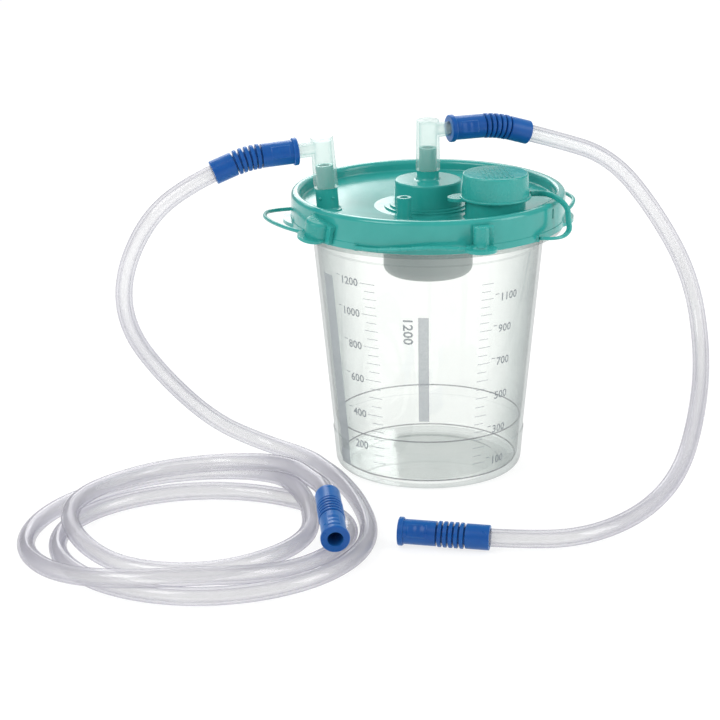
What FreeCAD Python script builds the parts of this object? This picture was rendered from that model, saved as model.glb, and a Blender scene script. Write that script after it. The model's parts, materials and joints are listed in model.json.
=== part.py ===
# A disposable suction canister: a clear graduated jar with a press-on lid, swivel elbows,
# captive port caps, a float shut-off under the lid and two lengths of clear hose with
# soft push-on connectors. Millimetres, +Z up, the jar stands on z = 0 with its axis on Z,
# and the front of the jar faces -Y.
import FreeCAD, Part
import math
import os
import Sketcher

Vector = FreeCAD.Vector
Rotation = FreeCAD.Rotation
Placement = FreeCAD.Placement

doc = FreeCAD.newDocument("suction_canister")
sheet = doc.addObject("Spreadsheet::Sheet", "Sizes")

SIZES = {
    # Jar
    "jar_wall": 1.8,
    "jar_base_radius": 52.3,
    "jar_base_corner": 5.2,
    "jar_base_thickness": 2.2,
    "jar_recess_depth": 2.0,
    "jar_recess_radius": 41.0,
    "jar_step_height": 21.7,
    "jar_step_radius": 54.2,
    "jar_step_depth": 0.45,
    "jar_ledge_height": 28.2,
    "jar_ledge_radius": 52.3,
    "jar_ledge_depth": 0.5,
    "jar_shoulder_drop": 7.3,
    "jar_shoulder_radius": 64.2,
    "jar_shoulder_depth": 0.6,
    "flange_thickness": 2.7,
    "flange_inset": 1.3,
    "neck_clearance": 0.2,
    "neck_wall": 1.2,
    "neck_gap": 1.3,
    # Lid
    "lid_top": 159.4,
    "lid_depth": 20.8,
    "rim_radius": 76.2,
    "rim_width": 5.5,
    "rim_round": 2.3,
    "skirt_wall": 2.6,
    "lid_wall": 1.6,
    "corner_round": 1.0,
    "bead_height": 3.5,
    "bead_depth": 0.3,
    "lid_clearance": 0.3,
    "plug_wall": 1.2,
    "plug_depth": 13.4,
    "plate_edge_drop": 6.0,
    "plate_drop": 9.4,
    "plate_flat_radius": 30.0,
    "tab_radius": 26.0,
    "tab_reach": 81.0,
    "tab_thickness": 2.2,
    "notch_angle": 62.8,
    "notch_width": 1.3,
    "notch_height": 5.4,
    "notch_drop": 6.4,
    # Boss and ports
    "boss_radius": 18.4,
    "boss_height": 14.9,
    "boss_step": 0.8,
    "boss_step_width": 3.0,
    "stub_radius": 6.2,
    "stub_tip_radius": 4.9,
    "stub_tip_length": 12.6,
    "swivel_clearance": 0.08,
    "stub_bore": 3.2,
    "stub_round": 1.6,
    "vacuum_stub_length": 5.2,
    "patient_stub_length": 12.5,
    "patient_port_rise": 1.4,
    "patient_port_x": -55.0,
    "patient_port_y": -15.0,
    "patient_port_lean": 4.3,
    "lug_radius": 0.9,
    "nipple_x": -13.0,
    "nipple_y": -34.0,
    "nipple_radius": 3.95,
    "nipple_bore": 2.3,
    "nipple_length": 12.8,
    "seat_radius": 5.2,
    "seat_drop": 9.1,
    # Pour spout and cap
    "spout_x": 36.6,
    "spout_y": -31.0,
    "spout_radius": 16.5,
    "spout_wall": 1.6,
    "spout_rise": 12.4,
    "port_foot": 0.5,
    "cap_clearance": 0.3,
    "cap_skirt": 10.1,
    "cap_top_gap": 2.3,
    "cap_wall": 1.5,
    "cap_top_radius": 17.8,
    "cap_flange_radius": 19.5,
    "cap_flange_thickness": 1.5,
    "cap_round": 1.0,
    "pull_tab_reach": 26.0,
    "pull_tab_radius": 6.5,
    "pull_tab_thickness": 1.8,
    "pull_tab_droop": 3.0,
    "grip_count": 6,
    "grip_pitch": 2.8,
    "grip_width": 1.4,
    "grip_height": 0.3,
    "grip_length": 26.0,
    "grip_turn": 8.0,
    # Shut-off under the lid
    "housing_radius": 25.0,
    "housing_wall": 1.5,
    "housing_depth": 47.9,
    "housing_corner": 5.0,
    "housing_inlet": 7.0,
    "housing_slot_width": 10.0,
    "housing_slot_height": 6.0,
    "collar_wall": 1.5,
    "collar_length": 5.4,
    "collar_clearance": 0.1,
    "guide_rib": 1.2,
    "float_radius": 19.0,
    "float_height": 20.0,
    "float_wall": 1.2,
    "float_clearance": 0.35,
    "float_rest_gap": 0.2,
    "seal_radius": 8.5,
    "seal_thickness": 2.0,
    "seal_spigot": 3.0,
    # Swivel elbows
    "elbow_length": 28.1,
    "elbow_foot_radius": 6.8,
    "elbow_head_radius": 6.25,
    "elbow_lid": 2.2,
    "elbow_round": 0.8,
    "elbow_gap": 0.3,
    "branch_height": 21.9,
    "branch_radius": 4.05,
    "branch_bore": 2.8,
    "branch_length": 28.0,
    "patient_branch_turn": 14.0,
    "vacuum_branch_turn": 21.0,
    # Push-on hose connectors
    "mouth_radius": 7.6,
    "mouth_length": 2.8,
    "barrel_radius": 6.6,
    "barrel_length": 17.2,
    "socket_radius": 4.15,
    "socket_depth": 18.0,
    "rib_count": 5,
    "rib_pitch": 2.92,
    "rib_length": 1.95,
    "rib_radius": 6.9,
    "waist_radius": 4.7,
    "waist_bore": 2.9,
    "tail_radius": 6.65,
    "tail_length": 12.6,
    "tail_depth": 10.5,
    "soft_round": 0.5,
    "connector_bend": 17.0,
    "patient_gap": 14.1,
    "vacuum_gap": 12.5,
    # Hoses
    "hose_radius": 4.75,
    "hose_clearance": 0.1,
    "coil_x": -118.0,
    "coil_y": -125.0,
    # Captive caps and their strands
    "strand_radius": 1.1,
    "strand_rise": 2.2,
    "tether_radius": 1.4,
    "tether_reach": 9.8,
    "knob_radius": 1.4,
    "knob_inset": 0.3,
    "eyelet_drop": 14.5,
    "eyelet_thickness": 1.6,
    "small_cap_radius": 4.3,
    "small_cap_height": 10.8,
    "small_eyelet_radius": 8.6,
    "small_eyelet_out": 8.9,
    "small_eyelet_hole": 4.2,
    "large_cap_radius": 7.0,
    "large_cap_height": 9.6,
    "large_eyelet_radius": 7.7,
    "large_eyelet_out": 5.2,
    "large_eyelet_hole": 2.6,
    "cap_back_plate": 1.6,
}


class Size:
    """A length that knows its formula, for a binding, and its value, for a first position."""

    def __init__(self, formula, value):
        self.formula = formula
        self.value = value

    def combine(self, sign, other, value):
        return Size("(%s %s %s)" % (self.formula, sign, other.formula), value)

    def __add__(self, other):
        other = as_size(other)
        return self.combine("+", other, self.value + other.value)

    def __sub__(self, other):
        other = as_size(other)
        return self.combine("-", other, self.value - other.value)

    def __mul__(self, other):
        other = as_size(other)
        return self.combine("*", other, self.value * other.value)

    def __truediv__(self, other):
        other = as_size(other)
        return self.combine("/", other, self.value / other.value)

    def __neg__(self):
        return as_size(0.0) - self

    def __float__(self):
        return float(self.value)


def as_size(number):
    return number if isinstance(number, Size) else Size(repr(float(number)), float(number))


class Cells:
    """The spreadsheet's cells as named sizes."""


def fill_sheet():
    cells = Cells()
    for row, (alias, value) in enumerate(SIZES.items(), start=1):
        sheet.set("A%d" % row, alias)
        sheet.set("B%d" % row, str(value))
        sheet.setAlias("B%d" % row, alias)
    doc.recompute()
    for alias in SIZES:
        setattr(cells, alias, Size("Sizes." + alias, float(sheet.get(alias))))
    return cells


s = fill_sheet()

# Heights and radii that follow from others, so that what meets stays together
s.flange_underside = s.lid_top - s.lid_depth
s.jar_shoulder_height = s.flange_underside - s.jar_shoulder_drop
s.skirt_inside = s.rim_radius - s.skirt_wall
s.neck_radius = s.skirt_inside - s.neck_clearance
s.neck_top = s.lid_top - s.lid_wall - s.neck_gap
s.flange_radius = s.rim_radius - s.flange_inset
s.skirt_bottom = s.flange_underside + s.flange_thickness + s.lid_clearance
s.plate = s.lid_top - s.plate_drop
s.boss_top = s.plate + s.boss_height
s.seat_bottom = s.lid_top - s.seat_drop
s.spout_top = s.lid_top + s.spout_rise
s.cap_base = s.spout_top - s.cap_skirt
s.cap_height = s.cap_skirt + s.cap_top_gap + s.cap_wall
s.housing_bottom = s.lid_top - s.housing_depth
s.eyelet_height = s.lid_top - s.eyelet_drop
s.waist_length = s.rib_pitch * s.rib_count + s.rib_pitch - s.rib_length


def bind(thing, **formulas):
    """Bind properties to cells; a double underscore in a name stands for a dot."""
    for name, size in formulas.items():
        thing.setExpression(name.replace("__", "."), as_size(size).formula)


def finish(thing, label):
    """Give a finished sub-part the name of its node."""
    thing.Label = label
    parts.append(thing)
    return thing


parts = []


# Sketched and turned bodies

def origin_plane(body, role):
    return next(item for item in body.Origin.OriginFeatures if item.Role == role)


def outline(body, name, corners):
    """A closed sketch on the XZ plane whose corners (radius, height) are all bound."""
    sketch = body.newObject("Sketcher::SketchObject", name)
    sketch.AttachmentSupport = [(origin_plane(body, "XZ_Plane"), "")]
    sketch.MapMode = "FlatFace"
    corners = [(as_size(across), as_size(up)) for across, up in corners]
    points = [Vector(float(across), float(up), 0) for across, up in corners]
    for start, end in zip(points, points[1:] + points[:1]):
        sketch.addGeometry(Part.LineSegment(start, end))
    for index, (across, up) in enumerate(corners):
        sketch.addConstraint(Sketcher.Constraint("Coincident", index - 1 if index else len(corners) - 1, 2, index, 1))
        for kind, axis, size in (("DistanceX", -2, across), ("DistanceY", -1, up)):
            if size.value == 0:
                sketch.addConstraint(Sketcher.Constraint("PointOnObject", index, 1, axis))
            else:
                place = sketch.addConstraint(Sketcher.Constraint(kind, -1, 1, index, 1, size.value))
                sketch.setExpression("Constraints[%d]" % place, size.formula)
    return sketch


def turned_body(name, corners):
    """A body made by turning a bound outline about the vertical axis."""
    body = doc.addObject("PartDesign::Body", name)
    sketch = outline(body, name + "_outline", corners)
    turn = body.newObject("PartDesign::Revolution", name + "_turn")
    turn.Profile = sketch
    turn.ReferenceAxis = (sketch, ["V_Axis"])
    turn.Angle = 360.0
    sketch.Visibility = False
    body.Tip = turn
    doc.recompute()
    return body


def round_rings(body, name, radius, rings):
    """Round the circular edges of a turned body that lie at (radius, height)."""
    tip = body.Tip
    names = []
    for index, edge in enumerate(tip.Shape.Edges, start=1):
        if not isinstance(edge.Curve, Part.Circle):
            continue
        for ring_radius, ring_height in rings:
            if abs(edge.Curve.Radius - float(ring_radius)) < 0.01 and abs(edge.Curve.Center.z - float(ring_height)) < 0.01:
                names.append("Edge%d" % index)
    fillet = body.newObject("PartDesign::Fillet", name)
    fillet.Base = (tip, names)
    bind(fillet, Radius=radius)
    body.Tip = fillet
    doc.recompute()
    return fillet


# Part primitives and booleans

def cylinder(name, radius, height, x=0.0, y=0.0, z=0.0):
    thing = doc.addObject("Part::Cylinder", name)
    bind(thing, Radius=radius, Height=height)
    bind(thing, Placement__Base__x=x, Placement__Base__y=y, Placement__Base__z=z)
    return thing


def box(name, length, width, height, x, y, z):
    thing = doc.addObject("Part::Box", name)
    bind(thing, Length=length, Width=width, Height=height)
    bind(thing, Placement__Base__x=x, Placement__Base__y=y, Placement__Base__z=z)
    return thing


def fuse(name, things):
    thing = doc.addObject("Part::MultiFuse", name)
    thing.Shapes = things
    thing.Refine = True
    return thing


def cut(name, base, tools):
    tool = tools[0] if len(tools) == 1 else fuse(name + "_tools", tools)
    thing = doc.addObject("Part::Cut", name)
    thing.Base = base
    thing.Tool = tool
    thing.Refine = True
    return thing


def shaped(name, shape):
    thing = doc.addObject("Part::Feature", name)
    thing.Shape = shape
    return thing


# Jar

def make_jar():
    step_top = s.jar_step_height + s.jar_step_depth
    floor_top = s.jar_recess_depth + s.jar_base_thickness
    shoulder_top = s.jar_shoulder_height + s.jar_shoulder_depth
    ledge = s.flange_underside + s.flange_thickness
    upper_radius = s.jar_shoulder_radius + s.jar_shoulder_depth
    jar = turned_body("canister", [
        (s.jar_recess_radius, 0),
        (s.jar_base_radius, 0),
        (s.jar_step_radius, s.jar_step_height),
        (s.jar_step_radius - s.jar_step_depth, step_top),
        (s.jar_shoulder_radius, s.jar_shoulder_height),
        (upper_radius, shoulder_top),
        (upper_radius, s.flange_underside),
        (s.flange_radius, s.flange_underside),
        (s.flange_radius, ledge),
        (s.neck_radius, ledge),
        (s.neck_radius, s.neck_top),
        (s.neck_radius - s.neck_wall, s.neck_top),
        (s.neck_radius - s.neck_wall, ledge),
        (upper_radius - s.jar_wall, ledge),
        (upper_radius - s.jar_wall, shoulder_top),
        (s.jar_shoulder_radius - s.jar_wall, s.jar_shoulder_height),
        (s.jar_ledge_radius + s.jar_ledge_depth, s.jar_ledge_height + s.jar_ledge_depth),
        (s.jar_ledge_radius, s.jar_ledge_height),
        (s.jar_base_radius - s.jar_wall, floor_top),
        (0, floor_top),
        (0, s.jar_recess_depth),
        (s.jar_recess_radius - s.jar_recess_depth, s.jar_recess_depth),
    ])
    round_rings(jar, "jar_base_edge", s.jar_base_corner, [(s.jar_base_radius, 0)])
    round_rings(jar, "jar_floor_edge", s.jar_base_corner - s.jar_wall, [(s.jar_base_radius - s.jar_wall, floor_top)])
    round_rings(jar, "jar_flange_edge", s.neck_wall / 2 - 0.05, [
        (s.flange_radius, s.flange_underside), (s.flange_radius, ledge),
        (s.neck_radius, s.neck_top), (s.neck_radius - s.neck_wall, s.neck_top)])
    round_rings(jar, "jar_flange_root", s.jar_wall, [(upper_radius, s.flange_underside)])
    finish(jar, "canister")


# Lid

def make_lid_shell():
    """The turned lid: rim, sealing plug, sloping plate, boss with its stub, and float seat."""
    rim_inside = s.rim_radius - s.rim_width
    skirt_inside = s.skirt_inside
    skirt_bottom = s.skirt_bottom
    roof = s.lid_top - s.lid_wall
    plate = s.plate
    plate_edge = s.lid_top - s.plate_edge_drop
    boss_top = s.boss_top
    collar_outside = s.housing_radius - s.housing_wall - s.collar_clearance
    under = plate - s.lid_wall
    bead_top = skirt_bottom + s.bead_height
    stub_shoulder = boss_top + s.vacuum_stub_length
    shell = turned_body("lid_shell", [
        (skirt_inside, skirt_bottom),
        (s.rim_radius + s.bead_depth, skirt_bottom),
        (s.rim_radius + s.bead_depth, bead_top),
        (s.rim_radius, bead_top + s.bead_depth),
        (s.rim_radius, s.lid_top),
        (rim_inside, s.lid_top),
        (rim_inside, plate_edge),
        (s.plate_flat_radius, plate),
        (s.boss_radius + s.boss_step_width * 2, plate),
        (s.boss_radius + s.boss_step_width * 2, plate + s.boss_step),
        (s.boss_radius + s.boss_step_width, plate + s.boss_step),
        (s.boss_radius + s.boss_step_width, plate + s.boss_step * 2),
        (s.boss_radius + s.boss_step / 2, plate + s.boss_step * 2),
        (s.boss_radius, boss_top),
        (s.stub_radius, boss_top),
        (s.stub_radius, stub_shoulder),
        (s.stub_tip_radius, stub_shoulder),
        (s.stub_tip_radius, stub_shoulder + s.stub_tip_length),
        (s.stub_bore, stub_shoulder + s.stub_tip_length),
        (s.stub_bore, s.seat_bottom),
        (s.seat_radius, s.seat_bottom),
        (s.seat_radius, boss_top - s.lid_wall),
        (s.boss_radius - s.lid_wall, boss_top - s.lid_wall),
        (s.boss_radius - s.lid_wall, under),
        (collar_outside - s.collar_wall, under),
        (collar_outside - s.collar_wall, under - s.collar_length),
        (collar_outside, under - s.collar_length),
        (collar_outside, under),
        (s.plate_flat_radius, under),
        (rim_inside, plate_edge - s.lid_wall),
        (rim_inside, s.lid_top - s.plug_depth),
        (rim_inside + s.plug_wall, s.lid_top - s.plug_depth),
        (rim_inside + s.plug_wall, roof),
        (skirt_inside, roof),
    ])
    round_rings(shell, "rim_edge", s.rim_round, [(s.rim_radius, s.lid_top), (rim_inside, s.lid_top)])
    round_rings(shell, "plate_corner", s.corner_round, [(rim_inside, plate_edge)])
    round_rings(shell, "boss_edge", s.corner_round, [(s.boss_radius, boss_top)])
    round_rings(shell, "stub_root", s.stub_round, [(s.stub_radius, boss_top)])
    return shell


def make_patient_stub():
    """The leaning port stub with its shoulder, sunk a little into the plate."""
    root = s.lid_wall * 1.5
    rise = s.patient_stub_length
    stub = turned_body("patient_stub", [
        (s.stub_bore, -root),
        (s.stub_radius + s.stub_round, -root),
        (s.stub_radius + s.stub_round, s.port_foot),
        (s.stub_radius, s.port_foot),
        (s.stub_radius, rise),
        (s.stub_tip_radius, rise),
        (s.stub_tip_radius, rise + s.stub_tip_length),
        (s.stub_bore, rise + s.stub_tip_length),
    ])
    round_rings(stub, "patient_stub_root", s.stub_round * 0.95, [(s.stub_radius, s.port_foot)])
    lugs = []
    for index, turn in enumerate((-35.0, 35.0)):
        lug = doc.addObject("Part::Sphere", "lug_%d" % index)
        bind(lug, Radius=s.lug_radius)
        bind(lug, Placement__Base__x=s.stub_radius * math.sin(math.radians(turn)))
        bind(lug, Placement__Base__y=-s.stub_radius * math.cos(math.radians(turn)))
        bind(lug, Placement__Base__z=rise * 0.6)
        lugs.append(lug)
    return fuse("patient_stub_with_lugs", [stub] + lugs)


def stand_on_port(thing, height):
    """Place a piece on the patient port's leaning axis, this far above the plate."""
    lean = math.radians(float(s.patient_port_lean))
    thing.Placement.Rotation = Rotation(Vector(0, 1, 0), -math.degrees(lean))
    base = s.plate + s.patient_port_rise
    bind(thing, Placement__Base__x=s.patient_port_x - as_size(height) * math.sin(lean))
    bind(thing, Placement__Base__y=s.patient_port_y)
    bind(thing, Placement__Base__z=base + as_size(height) * math.cos(lean))
    return thing


def make_lid():
    plate = s.plate
    under = plate - s.lid_wall
    shell = make_lid_shell()
    stub = stand_on_port(make_patient_stub(), 0)
    stub_bore = stand_on_port(cylinder("stub_bore_tool", s.stub_bore, s.stub_tip_length * 3), -s.lid_wall * 4)
    spout = turned_body("spout", [
        (s.spout_radius - s.spout_wall, under),
        (s.spout_radius + s.stub_round, under),
        (s.spout_radius + s.stub_round, plate + s.port_foot),
        (s.spout_radius, plate + s.port_foot),
        (s.spout_radius, s.spout_top),
        (s.spout_radius - s.spout_wall, s.spout_top),
    ])
    round_rings(spout, "spout_root", s.stub_round * 0.95, [(s.spout_radius, plate + s.port_foot)])
    round_rings(spout, "spout_lip", s.spout_wall * 0.4, [
        (s.spout_radius, s.spout_top), (s.spout_radius - s.spout_wall, s.spout_top)])
    bind(spout, Placement__Base__x=s.spout_x, Placement__Base__y=s.spout_y)
    nipple = turned_body("nipple", [
        (s.nipple_bore, under),
        (s.nipple_radius + s.stub_round, under),
        (s.nipple_radius + s.stub_round, plate + s.port_foot),
        (s.nipple_radius, plate + s.port_foot),
        (s.nipple_radius, plate + s.nipple_length),
        (s.nipple_bore, plate + s.nipple_length),
    ])
    round_rings(nipple, "nipple_root", s.stub_round * 0.9, [(s.nipple_radius, plate + s.port_foot)])
    bind(nipple, Placement__Base__x=s.nipple_x, Placement__Base__y=s.nipple_y)
    solid = fuse("lid_solid", [shell, stub, spout, nipple] + make_thumb_tabs() + make_strand_roots())
    holes = [
        stub_bore,
        cylinder("spout_hole", s.spout_radius - s.spout_wall, s.plate_drop * 2, s.spout_x, s.spout_y, under - 5),
        cylinder("nipple_hole", s.nipple_bore, s.plate_drop * 2, s.nipple_x, s.nipple_y, under - 5),
        make_notch(),
    ]
    lid = finish(cut("lid", solid, holes), "lid")
    doc.recompute()
    return lid.Shape


def make_thumb_tabs():
    """Two crescent ledges for lifting the lid, left and right, at the foot of the skirt."""
    bottom = s.skirt_bottom
    tabs = []
    for index, side in enumerate((-1.0, 1.0)):
        disc = cylinder("tab_disc_%d" % index, s.tab_radius, s.tab_thickness,
                        (s.tab_reach - s.tab_radius) * side, 0, bottom)
        core = cylinder("tab_core_%d" % index, s.rim_radius - s.lid_wall / 2, s.tab_thickness * 2, 0, 0, bottom - 1)
        tabs.append(cut("tab_%d" % index, disc, [core]))
    return tabs


def make_notch():
    """A short upright groove in the skirt below the rim, where the cap's strap is laid in."""
    width = s.notch_width
    notch = box("notch", width, width * 2, s.notch_height, -width / 2, -s.rim_radius - width * 1.4,
                s.lid_top - s.notch_drop - s.rim_round)
    turned = doc.addObject("Part::MultiFuse", "notch_turned")
    turned.Shapes = [notch, cylinder("notch_core", width * 0.3, width, 0, -s.rim_radius, s.lid_top - s.notch_drop)]
    bind(turned, Placement__Rotation__Angle=s.notch_angle)
    turned.Placement = Placement(Vector(), Rotation(Vector(0, 0, 1), float(s.notch_angle)))
    return turned


def around(angle, radius, height):
    """A point at this angle from the front, to the right seen from the front."""
    turn = math.radians(angle)
    return Vector(float(radius) * math.sin(turn), -float(radius) * math.cos(turn), float(height))


def make_strand_roots():
    """Small knobs on the skirt's bead that the strands grow out of."""
    roots = []
    for index, angle in enumerate((FRONT_ROOT, TETHER_ROOT, LEFT_ROOT, REAR_ROOT)):
        knob = cylinder("strand_root_%d" % index, s.knob_radius, s.bead_height)
        place = around(angle, s.rim_radius + s.bead_depth - s.knob_inset, s.skirt_bottom)
        bind(knob, Placement__Base__x=place.x, Placement__Base__y=place.y, Placement__Base__z=s.skirt_bottom)
        roots.append(knob)
    return roots


# Angles from the front of what hangs on the skirt, in degrees
FRONT_ROOT = -30.0
TETHER_ROOT = 50.5
LEFT_ROOT = -104.0
REAR_ROOT = 98.0
FRONT_CAP = 19.0
LEFT_CAP = -50.0
REAR_CAP = 140.0
LEFT_CAP_ROLL = 14.0


# Routes of straight runs and tangent arcs

def route_edges(points, radii=None):
    """Edges of straight runs joined by arcs that take 0.45 of the shorter run."""
    edges = []
    start = points[0]
    for before, corner, after in zip(points, points[1:], points[2:]):
        back = before - corner
        ahead = after - corner
        turn = math.pi - back.getAngle(ahead)
        reach = 0.45 * min(back.Length, ahead.Length)
        radius = reach / math.tan(turn / 2)
        back.normalize()
        ahead.normalize()
        inward = (back + ahead).normalize()
        centre = corner + inward * (radius / math.cos(turn / 2))
        first = corner + back * reach
        last = corner + ahead * reach
        edges.append(Part.LineSegment(start, first).toShape())
        edges.append(Part.Arc(first, centre - inward * radius, last).toShape())
        start = last
        if radii is not None:
            radii.append(radius)
    edges.append(Part.LineSegment(start, points[-1]).toShape())
    return edges


def round_tube(points, radius, name=""):
    """A round rod along a route, with its volume compared with section times length."""
    radii = []
    path = Part.Wire(route_edges(points, radii))
    section = Part.Wire(Part.Circle(points[0], points[1] - points[0], radius).toShape())
    tube = path.makePipeShell([section], True, False)
    ratio = tube.Volume / (math.pi * radius ** 2 * path.Length)
    if name:
        print("%s: length %.0f mm, arc radii %s, volume ratio %.4f"
              % (name, path.Length, " ".join("%.0f" % r for r in radii), ratio))
    return tube


# Captive caps

def captive_cap(angle, radius, height, eyelet, out, hole, roll, twist, strand):
    """A half-round cap on an eyelet plate, moulded in one with the strand that holds it."""
    outside = float(s.rim_radius + s.bead_depth) + float(s.lid_clearance)
    plate = float(s.cap_back_plate)
    floor = float(s.eyelet_height)
    thick = float(s.eyelet_thickness)
    ring_at = Vector(0, -outside - out, floor)
    ring = Part.makeCylinder(eyelet, thick, ring_at)
    wall = Part.makeCylinder(outside, 4 * thick, Vector(0, 0, floor - thick))
    ring = ring.cut(Part.makeCylinder(hole, 4 * thick, ring_at - Vector(0, 0, thick)))
    post = Part.makeCylinder(radius, height, Vector(0, -outside - plate, floor + thick * 0.5))
    keep = Part.makeBox(4 * radius, 2 * radius, 2 * height, Vector(-2 * radius, -outside - plate - 2 * radius, floor - thick))
    post = post.common(keep)
    crown = [edge for edge in post.Edges if isinstance(edge.Curve, Part.Circle)
             and edge.CenterOfMass.z > floor + thick * 0.5 + height - 0.1]
    post = post.makeFillet(0.25 * radius, crown)
    back = Part.makeBox(2.55 * radius, plate * 2, height + thick * 0.5,
                        Vector(-1.05 * radius, -outside - plate, floor))
    for piece in (post, back):
        piece.rotate(ring_at, Vector(0, 0, 1), twist)
    body = ring.fuse([post, back]).removeSplitter()
    body.rotate(ring_at, Vector(0, 1, 0), roll)
    body = body.cut(wall)
    body.rotate(Vector(), Vector(0, 0, 1), angle)
    return body.fuse(round_tube(strand, float(s.strand_radius))).removeSplitter()


def make_captive_caps(lid):
    """The three captive caps, each trimmed where its strand grows out of the lid's knob."""
    band = s.rim_radius + s.bead_depth + s.strand_radius + s.lid_clearance
    low = s.flange_underside + s.flange_thickness + s.strand_rise
    small = s.small_eyelet_radius
    large = s.large_eyelet_radius
    front = captive_cap(FRONT_CAP, float(s.small_cap_radius), float(s.small_cap_height), float(small),
                        float(s.small_eyelet_out), float(s.small_eyelet_hole), 0.0, -FRONT_CAP - 3, [
                            around(FRONT_ROOT, band, low), around(-23, band + small * 0.07, low),
                            around(-12, band + small * 0.19, low + small * 0.16),
                            around(0, band + small * 0.26, low + small * 0.36),
                            around(9, band + small * 0.4, low + small * 0.31),
                            around(15.5, band + small * 0.63, s.eyelet_height + s.eyelet_thickness / 2)])
    finish(shaped("small_cap", front.cut(lid)), "tandem_port_cap")
    left = captive_cap(LEFT_CAP, float(s.large_cap_radius), float(s.large_cap_height), float(large),
                       float(s.large_eyelet_out), float(s.large_eyelet_hole), LEFT_CAP_ROLL, 0.0, [
                           around(LEFT_ROOT, band, low), around(-101, band + large, low),
                           around(-95, band + large * 1.68, low + large * 0.12),
                           around(-86, band + large * 1.74, low + large * 0.24),
                           around(-76, band + large * 1.42, low + large * 0.34),
                           around(-65, band + large * 1.02, low + large * 0.4),
                           around(-54.6, band + large * 0.62, low + large * 0.42)])
    finish(shaped("left_cap", left.cut(lid)), "patient_port_cap")
    rear = captive_cap(REAR_CAP, float(s.large_cap_radius), float(s.large_cap_height), float(large),
                       float(s.large_eyelet_out), float(s.large_eyelet_hole), 0.0, 0.0, [
                           around(REAR_ROOT, band, low), around(105.5, band + large * 0.86, low + large * 0.1),
                           around(111, band + large * 1.42, low + large * 0.3),
                           around(118, band + large * 1.42, low + large * 0.42),
                           around(127, band + large, low + large * 0.36),
                           around(135, band + large * 0.72, s.eyelet_height + s.eyelet_thickness / 2)])
    finish(shaped("rear_cap", rear.cut(lid)), "vacuum_port_cap")


# Pour cap and the strap that keeps it on the lid

def make_pour_cap():
    inside = s.spout_radius + s.cap_clearance
    cap = turned_body("pour_cap_shell", [
        (inside, 0),
        (s.cap_flange_radius, 0),
        (s.cap_flange_radius, s.cap_flange_thickness),
        (s.cap_top_radius + s.cap_wall * 0.45, s.cap_flange_thickness),
        (s.cap_top_radius, s.cap_height),
        (0, s.cap_height),
        (0, s.cap_height - s.cap_wall),
        (inside, s.cap_height - s.cap_wall),
    ])
    round_rings(cap, "pour_cap_edge", s.cap_round, [(s.cap_top_radius, s.cap_height)])
    round_rings(cap, "pour_cap_flange", s.cap_flange_thickness * 0.4, [
        (s.cap_flange_radius, 0), (s.cap_flange_radius, s.cap_flange_thickness)])
    centre = s.pull_tab_reach - s.pull_tab_radius
    tongue = fuse("pull_tab_solid", [
        cylinder("pull_tab_end", s.pull_tab_radius, s.pull_tab_thickness, -centre, 0, 0),
        box("pull_tab_neck", centre, s.pull_tab_radius * 2, s.pull_tab_thickness, -centre, -s.pull_tab_radius, 0)])
    tongue.Placement.Rotation = Rotation(Vector(0, 1, 0), -float(s.pull_tab_droop))
    tab = cut("pull_tab", tongue, [cylinder("pull_tab_core", s.cap_top_radius - s.cap_clearance,
                                            s.cap_height, 0, 0, -s.cap_height / 2)])
    grips = []
    for index in range(int(float(s.grip_count))):
        shift = s.grip_pitch * (index - (float(s.grip_count) - 1) / 2)
        grips.append(box("grip_%d" % index, s.grip_width, s.grip_length, s.grip_height * 2,
                         shift - s.grip_width / 2, -s.grip_length / 2, s.cap_height - s.grip_height))
    ribs = doc.addObject("Part::Compound", "grip_ribs")
    ribs.Links = grips
    ribs.Placement = Placement(Vector(), Rotation(Vector(0, 0, 1), float(s.grip_turn)))
    solid = fuse("pour_cap", [cap, tab, ribs])
    bind(solid, Placement__Base__x=s.spout_x, Placement__Base__y=s.spout_y, Placement__Base__z=s.cap_base)
    finish(solid, "pour_cap")


def make_pour_cap_strap(lid):
    """The strap from the cap's flange, out over the rim, down and back to its knob."""
    level = s.cap_base + s.cap_flange_thickness / 2
    root = around(TETHER_ROOT, s.rim_radius + s.bead_depth + s.tether_radius + s.lid_clearance,
                  s.flange_underside + s.flange_thickness + s.strand_rise)
    reach = float(s.cap_flange_radius) + float(s.cap_clearance)
    toward = Vector(0.962, 0.27, 0)
    start = Vector(float(s.spout_x), float(s.spout_y), float(level)) + toward * reach
    out = s.tether_reach
    points = [
        start,
        start + toward * float(out) * 0.5,
        around(64.8, s.rim_radius - out * 0.2, s.lid_top + out * 0.42),
        around(63.6, s.rim_radius + out * 0.84, s.lid_top - out * 0.1),
        around(64.9, s.rim_radius + out * 0.8, s.lid_top - out * 0.96),
        around(64.9, s.rim_radius + out * 0.91, s.lid_top - out * 1.57),
        around(55.6, s.rim_radius + out * 0.97, s.lid_top - out * 1.71),
        root]
    strap = round_tube(points, float(s.tether_radius), "pour cap strap")
    finish(shaped("pour_strap", strap.cut(lid)), "pour_cap_strap")


# Shut-off under the lid

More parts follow.
